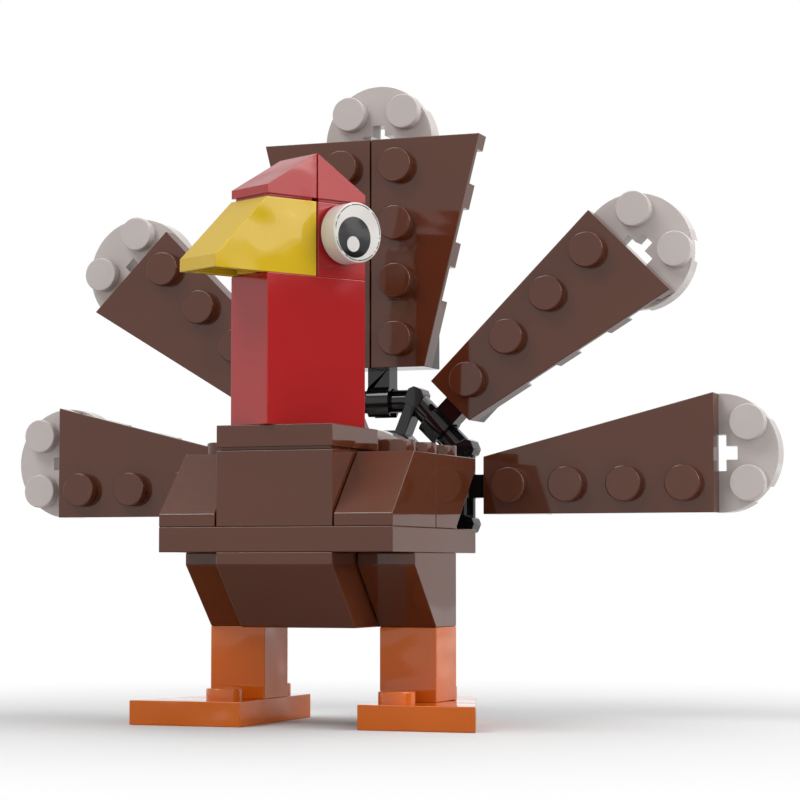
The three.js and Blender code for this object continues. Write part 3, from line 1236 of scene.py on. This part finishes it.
@dataclass
class Legs(Assembly):
    """The two legs and the two wedge plates that are its feet.

    Attributes:
        studs: How many studs long a foot is.
    """

    studs: int = 3

    def build(self) -> None:
        """Builds both legs."""
        for name, side in LEFT_AND_RIGHT:
            x = side * 3 * GRID.half
            back = GRID.half + self.studs * GRID.half
            foot = MOULDS.wedge(self.studs, -side)
            self.finish(f"foot_{name}", foot, self.at(x, back, 0) @ ABOUT, ORANGE)
            leg = MOULDS.plain(1, 1, GRID.brick)
            self.finish(f"leg_{name}", leg, self.at(x, GRID.half, GRID.plate), ORANGE)


@dataclass
class Trunk(Assembly):
    """The stepped body: four belly slopes, the deck, and the bricks and slopes over it.

    Attributes:
        lip: Height of a slope's upright edge.
        skin: Thickness behind a slanting face, measured upright.
        step: Height and depth of the step round the foot of the jumper plate.
        hole_drop: How far the round hole lies under the top of its brick.
        hole: Radius of that hole.
        hole_wall: Thickness of the wall round it.
        counter: Radius of its widened mouths.
        counter_depth: Depth of its mouths.
    """

    lip: float = 1.6
    skin: float = 1.7
    step: float = 0.4
    hole_drop: float = 3.6
    hole: float = 2.45
    hole_wall: float = 0.95
    counter: float = 3.1
    counter_depth: float = 0.9

    def build(self) -> None:
        """Builds the body."""
        belly, deck, chest = 4 * GRID.plate, 7 * GRID.plate, 8 * GRID.plate
        side = 3 * GRID.half
        for name, columns, place in (
            ("belly_front", 2, self.at(0, -GRID.pitch, belly)),
            ("belly_back", 2, self.at(0, GRID.pitch, belly) @ ABOUT),
            ("belly_left", 1, self.at(side, 0, belly)),
            ("belly_right", 1, self.at(-side, 0, belly)),
            ("rump_left", 1, self.at(side, GRID.pitch, chest) @ ABOUT),
            ("rump_right", 1, self.at(-side, GRID.pitch, chest) @ ABOUT),
        ):
            self.finish(name, MOULDS.belly_slope(columns, self.lip, self.skin), place, BROWN)
        for name, x in (("shoulder_left", side), ("shoulder_right", -side)):
            slope = MOULDS.roof_slope(BROWN, BROWN_GRAIN, self.lip, self.skin)
            self.finish(name, slope, self.at(x, -GRID.pitch, chest), BROWN)
        for name, columns, rows, height, place in (
            ("deck_plate", 4, 4, GRID.plate, self.at(0, 0, deck)),
            ("chest_brick", 2, 2, GRID.brick, self.at(0, -GRID.pitch, chest)),
            ("back_brick", 2, 1, GRID.brick, self.at(0, GRID.half, chest)),
        ):
            self.finish(name, MOULDS.plain(columns, rows, height), place, BROWN)
        back = GRID.pitch + GRID.half
        self.finish("tail_brick", self.tail_brick(), self.at(0, back, chest), BROWN)
        jumper = MOULDS.stepped_box(GRID.reach(2), GRID.plate, self.step)
        jumper += [MOULDS.tube(0, 0, GRID.plate - GRID.roof), *MOULDS.studs([(0, 0)], GRID.plate)]
        self.finish("neck_jumper", jumper, self.at(0, -GRID.pitch, 11 * GRID.plate), BROWN)

    def tail_brick(self) -> list[Thing]:
        """Makes the brick with the round hole that holds the tail's pin.

        Returns:
            Its parts.
        """
        reach, side = GRID.reach(2), GRID.reach(1)
        height = GRID.brick - self.hole_drop
        box = BENCH.block((-reach, -side, 0), (reach, side, GRID.brick))
        BENCH.pocket(box, GRID.wall, GRID.brick - GRID.roof)
        middle = (0, 0, height)
        ring = BENCH.rod(self.hole + self.hole_wall, 2 * side - GRID.wall, middle, Lying.ALONG)
        BENCH.shape(box, ring, Shaping.JOIN)
        hole = BENCH.rod(self.hole, 2 * side + 4 * GRID.overrun, middle, Lying.ALONG)
        mouths = [
            BENCH.rod(self.counter, 2 * self.counter_depth, (0, y, height), Lying.ALONG)
            for y in (-side, side)
        ]
        BENCH.cut(box, hole, *mouths)
        BENCH.soften(box, GRID.inner_edge)
        return [box, *MOULDS.studs(GRID.places(2, 1), GRID.brick)]


@dataclass
class Head(Assembly):
    """The neck, the beak, the block with the eyes, and the crown of two small slopes.

    Attributes:
        turn: How far the head is turned, in degrees.
        lip: Height of the beak's front.
        skin: Thickness under the beak's slope, measured upright.
        drop: How far the side studs lie under the top of the eye block.
        rise: Height of the crown.
        crown_lip: Height of the crown's low end.
        crown_skin: Thickness under the crown's slope, measured upright.
        crown_edge: Rounding of the crown's edges.
        step: Height and depth of the step round a small piece's foot.
        holder: Half the depth of the stud holder inside the neck.
        holder_height: Its height.
        eye_room: Height of the room for a stud in an eye.
        eye_rim: Rounding of an eye's rim.
    """

    turn: float = -30.0
    lip: float = 1.6
    skin: float = 1.7
    drop: float = 4.0
    rise: float = 6.2
    crown_lip: float = 1.5
    crown_skin: float = 1.3
    crown_edge: float = 0.12
    step: float = 0.4
    holder: float = 3.45
    holder_height: float = 3.0
    eye_room: float = 2.0
    eye_rim: float = 0.22

    def build(self) -> None:
        """Builds the head."""
        spin = Matrix.Rotation(math.radians(self.turn), 4, "Z")
        head = self.at(0, -GRID.pitch, 12 * GRID.plate) @ spin
        neck = 6 * GRID.plate
        top = neck + GRID.brick

        def on_head(x: float, y: float, z: float) -> Matrix:
            """A place on the turned head, in millimetres from the neck's foot."""
            return head @ Matrix.Translation((x, y, z))

        self.finish("neck_brick", self.neck(neck), head, RED)
        beak = MOULDS.roof_slope(YELLOW, YELLOW_GRAIN, self.lip, self.skin)
        self.finish("beak", beak, on_head(0, -GRID.pitch, neck), YELLOW)
        self.finish("eye_brick", self.eye_block(), on_head(0, GRID.half, neck), RED)
        self.finish("crown_front", self.crown(), on_head(0, -GRID.half, top), RED_SLOPE)
        self.finish("crown_back", self.crown(), on_head(0, GRID.half, top) @ ABOUT, RED_SLOPE)
        forward = (spin.to_3x3() @ Vector((0, -1, 0))).normalized()
        for name, side in LEFT_AND_RIGHT:
            face_up = Matrix.Rotation(side * QUARTER, 4, "Y")
            place = on_head(side * GRID.half, GRID.half, top - self.drop) @ face_up
            eye = self.finish(f"eye_{name}", self.eye(), place, WHITE)
            outward = (spin.to_3x3() @ Vector((side, 0, 0))).normalized()
            centre = (place @ Vector((0, 0, GRID.plate))) * MM
            printed = EyePrint(f"{name}_eye_print", centre, outward, forward)
            BENCH.repaint(eye, printed.material())

    def neck(self, height: float) -> list[Thing]:
        """Makes the tall block with the stud holder inside.

        Args:
            height: Its height.

        Returns:
            Its parts.
        """
        inner = GRID.reach(1) - GRID.wall + GRID.sink
        corner = (inner, self.holder, self.holder_height)
        holder = BENCH.block((-inner, -self.holder, GRID.hair), corner)
        room = BENCH.post(GRID.socket, -GRID.overrun, self.holder_height + GRID.overrun)
        BENCH.cut(holder, room)
        return [MOULDS.box(1, 2, height), holder, *MOULDS.studs(GRID.places(1, 2), height)]

    def eye_block(self) -> list[Thing]:
        """Makes the block with a stud on each side and one on its top.

        Returns:
            Its parts.
        """
        height = GRID.brick - self.drop
        inner = GRID.reach(1) - GRID.sink
        low = height - GRID.stud - GRID.sink
        core = BENCH.block((-inner, -inner, low), (inner, inner, GRID.brick - GRID.sink))
        width = 2 * (GRID.reach(1) + GRID.stud_height)
        across = BENCH.rod(GRID.stud, width, (0, 0, height), Lying.ACROSS, STUD_SIDES)
        BENCH.soften(across, GRID.stud_edge)
        return [MOULDS.box(1, 1, GRID.brick), core, across, *MOULDS.studs([(0, 0)], GRID.brick)]

    def crown(self) -> list[Thing]:
        """Makes a small roof block, highest at +Y, on a foot that is set back by a step.

        Returns:
            Its parts.
        """
        side = GRID.reach(1)
        inner = side - GRID.wall
        outward = (0.0, self.crown_lip - self.rise, 2 * side)
        parts = []
        for reach, low, high in (
            (side, self.step, self.rise),
            (side - self.step, 0, self.step + GRID.sink),
        ):
            part = BENCH.block((-reach, -reach, low), (reach, reach, high))
            if high > self.crown_lip:
                BENCH.slice_off(part, (0, side, self.rise), outward)
            room = BENCH.block((-inner, -inner, -GRID.overrun), (inner, inner, self.rise))
            BENCH.slice_off(room, (0, side, self.rise - self.crown_skin), outward)
            stud = BENCH.post(GRID.socket, -GRID.overrun, GRID.stud_height + GRID.grip)
            BENCH.shape(room, stud, Shaping.JOIN)
            parts.append(BENCH.soften(BENCH.cut(part, room), self.crown_edge))
        return parts

    def eye(self) -> list[Thing]:
        """Makes a round tile, face up, with a socket for one stud.

        Returns:
            Its parts.
        """
        radius = GRID.reach(1)
        rim = BENCH.post(radius, self.step, GRID.plate, sides=EYE_SIDES)
        foot = BENCH.post(radius - self.step, 0, self.step + GRID.sink, sides=EYE_SIDES)
        parts = []
        for part, edge in ((rim, self.eye_rim), (foot, GRID.inner_edge)):
            room = BENCH.post(GRID.socket, -GRID.overrun, self.eye_room)
            parts.append(BENCH.soften(BENCH.cut(part, room), edge))
        return parts


@dataclass
class TailHub(Assembly):
    """The turntable behind the body and the eight-sided frame that it turns.

    Attributes:
        radius: Radius of the round parts.
        height: How high the hub's axis lies.
        disc: Thickness of the turning disc.
        stem: Radius of the stem that holds it.
        snap: How far the stem's lip stands out.
        snap_height: Height of that lip.
        gap: Running gap of the disc.
        sides: Number of the frame's bars.
        bar: Radius of a bar.
        bar_reach: Distance of the bars from the axis.
        spoke: Width of a spoke.
        knuckle: Width of a knuckle.
        knuckle_out: How far a knuckle reaches past the corner.
        knuckle_in: How far it reaches inwards.
        chamfer: Chamfer of its outer edges.
    """

    radius: float = 7.9
    height: float = 31.6
    disc: float = 1.6
    stem: float = 2.75
    snap: float = 0.25
    snap_height: float = 0.6
    gap: float = 0.12
    sides: int = 8
    bar: float = 1.6
    bar_reach: float = 12.0
    spoke: float = 1.6
    knuckle: float = 2.4
    knuckle_out: float = 1.9
    knuckle_in: float = 0.8
    chamfer: float = 0.6

    def build(self) -> None:
        """Builds the hub and the frame."""
        turn = Matrix.Rotation(-QUARTER, 4, "X")
        back = 2 * GRID.pitch
        for node, form, thickness, plastic in (
            ("turntable_base", self.base, GRID.plate, GREY),
            ("turntable_disc", self.turning_disc, self.disc, GREY),
            ("tail_frame", self.frame, GRID.plate, BLACK),
        ):
            self.finish(node, form(), self.at(0, back, self.height) @ turn, plastic)
            back += thickness
        BENCH.repaint(frame["nodes"]["tail_pin"], BLACK.material())

    def base(self) -> list[Thing]:
        """Makes the fixed half, with its stem and the lip that holds the disc.

        Returns:
            Its parts.
        """
        body = MOULDS.round_body(self.radius)
        MOULDS.cut_cross(body, GRID.plate - GRID.sink, GRID.inner_edge)
        top = GRID.plate + self.disc - self.gap
        stem = BENCH.post(self.stem, GRID.plate - GRID.sink, top - GRID.hair)
        lip = BENCH.post(self.stem + self.snap, top - self.snap_height, top)
        return [body, stem, BENCH.soften(lip, GRID.inner_edge)]

    def turning_disc(self) -> list[Thing]:
        """Makes the turning half, with four studs and a stepped bore.

        Returns:
            Its parts.
        """
        disc = BENCH.post(self.radius, 0, self.disc, sides=PLATE_SIDES)
        bore = BENCH.post(self.stem + self.gap, -GRID.overrun, self.disc + GRID.overrun)
        step = self.disc - self.snap_height - 2 * self.gap
        seat = BENCH.post(self.stem + self.snap + self.gap, step, self.disc + GRID.overrun)
        BENCH.soften(BENCH.cut(disc, bore, seat), GRID.fine_edge)
        return [disc, *MOULDS.studs(GRID.places(2, 2), self.disc)]

    def frame(self) -> list[Thing]:
        """Makes the eight-sided plate inside its ring of bars.

        Returns:
            Its parts.
        """
        top = GRID.plate - GRID.roof
        step = HALF_TURN / self.sides
        centre = BENCH.post(self.radius / math.cos(step), 0, GRID.plate, sides=self.sides)
        centre.rotation_euler.z = step
        BENCH.settle(centre)
        BENCH.pocket(centre, GRID.wall, top)
        MOULDS.cut_sockets(centre)
        BENCH.soften(centre, GRID.inner_edge)
        parts = [centre, MOULDS.tube(0, 0, top), *MOULDS.studs(GRID.places(2, 2), GRID.plate)]
        forms = self.ring_forms(step)
        for index in range(self.sides):
            for form, turn in zip(forms, (2 * index, 2 * index + 1, 2 * index + 1)):
                parts.append(BENCH.copy(form, Matrix.Rotation(turn * step, 4, "Z")))
        for form in forms:
            bpy.data.objects.remove(form)
        return parts

    def ring_forms(self, step: float) -> tuple[Thing, Thing, Thing]:
        """Makes one bar, one spoke and one knuckle, on the +Y side.

        Args:
            step: Half the angle between two bars.

        Returns:
            The three forms.
        """
        corner = self.bar_reach / math.cos(step)
        length = 2 * self.bar_reach * math.tan(step)
        middle = (0, self.bar_reach, GRID.plate / 2)
        bar = BENCH.rod(self.bar, length, middle, Lying.ACROSS, BAR_SIDES)
        side, hair = self.spoke / 2, GRID.hair
        start = self.radius - GRID.sink
        spoke = BENCH.block((-side, start, hair), (side, corner, GRID.plate - hair))
        BENCH.soften(spoke, GRID.fine_edge)
        side = self.knuckle / 2
        low, high = corner - self.knuckle_in, corner + self.knuckle_out
        knuckle = BENCH.block((-side, low, 0), (side, high, GRID.plate))
        BENCH.choose(knuckle, Part.EDGES, lambda edge: self.outer_upright(knuckle, edge, high))
        bpy.ops.mesh.bevel(offset=self.chamfer, segments=1, affect="EDGES")
        BENCH.clear()
        BENCH.soften(knuckle, GRID.fine_edge)
        return bar, spoke, knuckle

    def outer_upright(self, thing: Thing, edge: bpy.types.MeshEdge, y: float) -> bool:
        """Whether an edge is upright and lies at a given Y.

        Args:
            thing: The object with the edge.
            edge: The edge.
            y: The Y that it should lie at.

        Returns:
            True if it does.
        """
        first, second = (thing.data.vertices[index].co for index in edge.vertices)
        upright = abs(first.x - second.x) < GRID.hair and abs(first.y - second.y) < GRID.hair
        return upright and abs(first.y - y) < GRID.hair


@dataclass
class Feather(Assembly):
    """One feather: a plate with a clip, its wedge plates and a round tip.

    Attributes:
        name: The feather's name.
        degrees: How far it leans to the left of upright.
        sides: The slanting side of each of its wedge plates.
        reach: How far the clip's plate starts from the bar.
        bar: Radius of the bar.
        gap: Gap round the bar.
        jaw: Thickness of a jaw.
        width: Width of the jaws.
        mouth: Height of the opening between them.
        studs: How many studs long a wedge plate is.
    """

    name: str = "top"
    degrees: float = 0.0
    sides: tuple[int, ...] = (-1, 1)
    reach: float = 4.3
    bar: float = 1.6
    gap: float = 0.2
    jaw: float = 0.7
    width: float = 3.2
    mouth: float = 2.4
    studs: int = 4

    def build(self) -> None:
        """Builds the feather."""
        hub = TailHub(self.shift)
        angle = math.radians(self.degrees)
        depth = GRID.plate / 2
        back = 2 * GRID.pitch + GRID.plate + hub.disc + depth
        x, z = math.sin(angle) * hub.bar_reach, hub.height + math.cos(angle) * hub.bar_reach
        base = self.at(x, back, z) @ Matrix.Rotation(angle, 4, "Y")
        turn = Matrix.Rotation(QUARTER, 4, "X")
        pair = len(self.sides) > 1
        self.finish(f"clip_{self.name}", self.clip(len(self.sides)), base @ turn, BLACK)
        for side in self.sides:
            label = f"{self.name}_{'left' if side > 0 else 'right'}" if pair else self.name
            place = Matrix.Translation((side * GRID.half if pair else 0, -depth, self.reach))
            wedge = MOULDS.wedge(self.studs, side)
            self.finish(f"feather_{label}", wedge, base @ place @ turn, BROWN)
        tip_x = 0 if pair else self.sides[0] * GRID.half
        place = Matrix.Translation((tip_x, depth, self.reach + self.studs * GRID.pitch))
        self.finish(f"tip_{self.name}", self.tip(hub.radius), base @ place @ turn, GREY)

    def clip(self, columns: int) -> list[Thing]:
        """Makes a plate with a clip on its long side, round a bar along X through the origin.

        Args:
            columns: How many studs wide the plate is.

        Returns:
            Its parts.
        """
        depth = GRID.plate / 2
        parts = MOULDS.plain(columns, 1, GRID.plate)
        for part in parts:
            part.data.transform(Matrix.Translation((0, self.reach + GRID.half, -depth)))
        bore = self.bar + self.gap
        side, thin = self.width / 2, depth - GRID.hair
        jaws = BENCH.rod(bore + self.jaw, self.width, (0, 0, 0), Lying.ACROSS, CLIP_SIDES)
        end = self.reach + GRID.play + GRID.sink
        arm = BENCH.block((-side, 0, -thin), (side, end, thin))
        BENCH.shape(jaws, arm, Shaping.JOIN)
        length = self.width + 4 * GRID.overrun
        hole = BENCH.rod(bore, length, (0, 0, 0), Lying.ACROSS, CLIP_SIDES)
        slot = self.mouth / 2
        mouth = BENCH.block((-self.width, -2 * bore, -slot), (self.width, 0, slot))
        BENCH.soften(BENCH.cut(jaws, hole, mouth), GRID.fine_edge, 2)
        return [*parts, jaws]

    def tip(self, radius: float) -> list[Thing]:
        """Makes a round plate with a cross hole through its middle.

        Args:
            radius: Its radius.

        Returns:
            Its parts.
        """
        body = MOULDS.round_body(radius)
        MOULDS.cut_sockets(body)
        MOULDS.cut_cross(body, GRID.plate + GRID.overrun, GRID.fine_edge)
        return [body, *MOULDS.studs(GRID.places(2, 2), GRID.plate)]


@dataclass
class Studio:
    """The floor, the light and the camera, in metres.

    Attributes:
        ambient: How bright the surroundings light the object.
        ceiling: How bright the surroundings show overhead, where 1 is white.
        overhead: How much of their light they give overhead.
        horizon: How steeply up a ray goes where overhead begins and is reached.
        floor_reach: Half the floor's width.
        floor_drop: How far the floor lies under the soles.
        floor_grey: The floor's grey to the camera.
        floor_dark: A painted shade: the darker grey mixed in for all other rays.
        dark_share: How much painted shade they see, or twice as much in gloss near the front.
        floor_rough: How blurred its reflections are.
        floor_shine: How strong they are.
        dark_end: How far back the floor's doubled painted shade in gloss ends, in millimetres.
        fade_back: How far back the middle of the fading lies, in millimetres.
        near_fade: Where the floor fades to white for the camera, in millimetres.
        far_fade: Where it fades to white for all the background's rays, in millimetres.
        target: Height of the middle of the object, which lamps and cards look at.
        focal: The camera's focal length, in millimetres.
        sensor: Width of its sensor, in millimetres.
        near: The shortest distance that it sees.
        yaw: How far the camera stands to the side, in degrees.
        pitch: How far it looks down, in degrees.
        eye: The camera's place in the row frame.
    """

    ambient: float = 0.85
    ceiling: float = 0.66
    overhead: float = 0.12
    horizon: tuple[float, float] = (0.24, 0.5)
    floor_reach: float = 6.0
    floor_drop: float = 0.00002
    floor_grey: Colour = (0.73, 0.73, 0.73, 1.0)
    floor_dark: Colour = (0.34, 0.34, 0.34, 1.0)
    dark_share: float = 0.5
    floor_rough: float = 0.7
    floor_shine: float = 0.1
    dark_end: float = 40.0
    fade_back: float = 15.0
    near_fade: tuple[float, float] = (40.0, 130.0)
    far_fade: tuple[float, float] = (120.0, 500.0)
    target: float = 0.035
    focal: float = 113.258
    sensor: float = 36.0
    near: float = 0.01
    yaw: float = 20.474
    pitch: float = -3.858
    eye: tuple[float, float, float] = (0.12501, -0.30644, 0.02020)

    def build(self) -> None:
        """Sets up the studio."""
        bpy.context.scene.view_settings.view_transform = "Standard"
        self.surroundings()
        self.floor()
        self.card("dark_card", (0.888, 0.149, 0.082), (0.62, 0.163), 0.1)
        self.card("grey_card", (0.315, 0.843, 0.1), (0.5, 0.4), 0.72)
        self.lamp("key", (0.696, -0.049, 0.42), (0.6, 0.45), 2.6)
        self.lamp("side", (0.888, 0.149, 0.3), (0.62, 0.24), 0.65)
        self.lamp("fill", (-0.36, -0.43, 0.72), (0.5, 0.4), 3.8)
        self.lamp("top", (0.3, 0.28, 0.87), (1.2, 0.9), 6.2)
        self.camera()

    def rays(self, shader: Shader) -> tuple[Number, Number, Number]:
        """What kind of ray a material is seen by.

        Args:
            shader: The material's writer.

        Returns:
            1 for the camera's rays, 1 for those in gloss, and 1 for all that show the
            background: of the camera, and in gloss and glass.
        """
        ray = shader.add("ShaderNodeLightPath", {}, {})
        names = ("Is Camera Ray", "Is Glossy Ray", "Is Transmission Ray")
        seen, glossy, through = (Number(shader, ray.outputs[name]) for name in names)
        return seen, glossy, (seen + glossy).larger(through)

    def surroundings(self) -> None:
        """A plain bright world: white all round, dimmer overhead."""
        world = bpy.data.worlds.new("studio")
        world.use_nodes = True
        bpy.context.scene.world = world
        shader = Shader(world.node_tree)
        towards = shader.add("ShaderNodeTexCoord", {}, {}).outputs["Generated"]
        up = shader.along(towards, Vector(), Vector((0, 0, MM)))
        high = up.step(*self.horizon)
        white = high * (self.ceiling - 1) + 1
        light = high * (self.ambient * (self.overhead - 1)) + self.ambient
        shown = self.rays(shader)[2]
        strength = shown * white + (1 - shown) * light
        back = shader.add(
            "ShaderNodeBackground", {}, {"Color": WHITE_LIGHT, "Strength": strength}
        )
        shader.add("ShaderNodeOutputWorld", {}, {"Surface": back.outputs[0]})

    def floor(self) -> None:
        """A pale floor that keeps the shadow and fades to white in the distance."""
        floor = self.sheet("floor", 2 * self.floor_reach, (0, 0, -self.floor_drop))
        BENCH.settle(floor)
        made, shader = new_material("pale_floor")
        place = shader.place()
        across = shader.along(place, Vector(), Vector((1, 0, 0)))
        back = shader.along(place, Vector(), Vector((0, 1, 0)))
        far = across.hypot(back - self.fade_back)
        seen, glossy, shown = self.rays(shader)
        # Painted shade: rays other than the camera's see the floor mixed with a darker grey.
        in_front = 1 - back.step(0, self.dark_end)
        share = (1 - seen) * (glossy * in_front + 1) * self.dark_share
        sockets = {
            "Base Color": shader.mix(share, self.floor_grey, self.floor_dark),
            "Roughness": self.floor_rough,
            "Specular IOR Level": self.floor_shine,
        }
        pale = shader.add("ShaderNodeBsdfPrincipled", {}, sockets)
        white = shader.glow(1.0)
        near_fade = seen * far.step(*self.near_fade)
        factor = near_fade.larger(far.step(*self.far_fade) * shown)
        sockets = {0: factor, 1: pale.outputs[0], 2: white.outputs[0]}
        shader.finish(shader.add("ShaderNodeMixShader", {}, sockets))
        floor.data.materials.append(made)

    def sheet(self, name: str, width: float, place: Point) -> Thing:
        """Adds a flat square that faces up.

        Args:
            name: Its name.
            width: Its width.
            place: Where its middle lies.

        Returns:
            The sheet.
        """
        BENCH.clear()
        bpy.ops.mesh.primitive_plane_add(size=width, location=place)
        sheet = bpy.context.object
        sheet.name = name
        return sheet

    def aim(self, thing: Thing) -> None:
        """Turns a lamp or a card to the middle of the object."""
        sight = Vector((0, 0, self.target)) - thing.location
        thing.rotation_euler = sight.to_track_quat("-Z", "Y").to_euler()

    def card(self, name: str, place: Point, size: Point, glow: float) -> None:
        """A card beside the object, which only its glossy faces and its shadows show.

        Args:
            name: Its name.
            place: Where it stands.
            size: Its width and height.
            glow: How bright it is, where 1 is white.
        """
        card = self.sheet(name, 1, place)
        card.scale = (*size, 1)
        self.aim(card)
        BENCH.settle(card)
        card.visible_camera = False
        made, shader = new_material(name)
        shader.finish(shader.glow(glow))
        card.data.materials.append(made)

    def lamp(self, name: str, place: Point, size: Point, power: float) -> None:
        """A large soft lamp that looks at the middle of the object.

        Args:
            name: Its name.
            place: Where it stands.
            size: Its width and height.
            power: Its power, in watts.
        """
        BENCH.clear()
        bpy.ops.object.light_add(type="AREA", location=place)
        lamp = bpy.context.object
        lamp.name = name
        lamp.data.shape = "RECTANGLE"
        lamp.data.size, lamp.data.size_y = size
        lamp.data.energy = power
        self.aim(lamp)

    def camera(self) -> None:
        """The camera, where the photograph was taken from."""
        BENCH.clear()
        bpy.ops.object.camera_add(location=self.eye)
        camera = bpy.context.object
        camera.data.lens = self.focal
        camera.data.sensor_width = self.sensor
        camera.data.clip_start = self.near
        side, tilt = math.radians(self.yaw), math.radians(self.pitch)
        level = math.cos(tilt)
        back = Vector((math.sin(side) * level, -math.cos(side) * level, math.sin(tilt)))
        camera.rotation_euler = (-back).to_track_quat("-Z", "Y").to_euler()
        bpy.context.scene.camera = camera


def main() -> None:
    """Builds the turkey and its studio."""
    logging.basicConfig(level=logging.INFO, format="%(name)s: %(message)s")
    low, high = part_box("deck_plate")
    shift = (low + high) / 2 / MM
    Legs(shift).build()
    Trunk(shift).build()
    Head(shift).build()
    TailHub(shift).build()
    for name, degrees, sides in (
        ("low_left", 90, (-1,)),
        ("high_left", 45, (1,)),
        ("top", 0, (-1, 1)),
        ("high_right", -45, (-1,)),
        ("low_right", -90, (1,)),
    ):
        Feather(shift, name, degrees, sides).build()
    MOULDS.done()
    Studio().build()


if __name__ == "__main__":
    main()
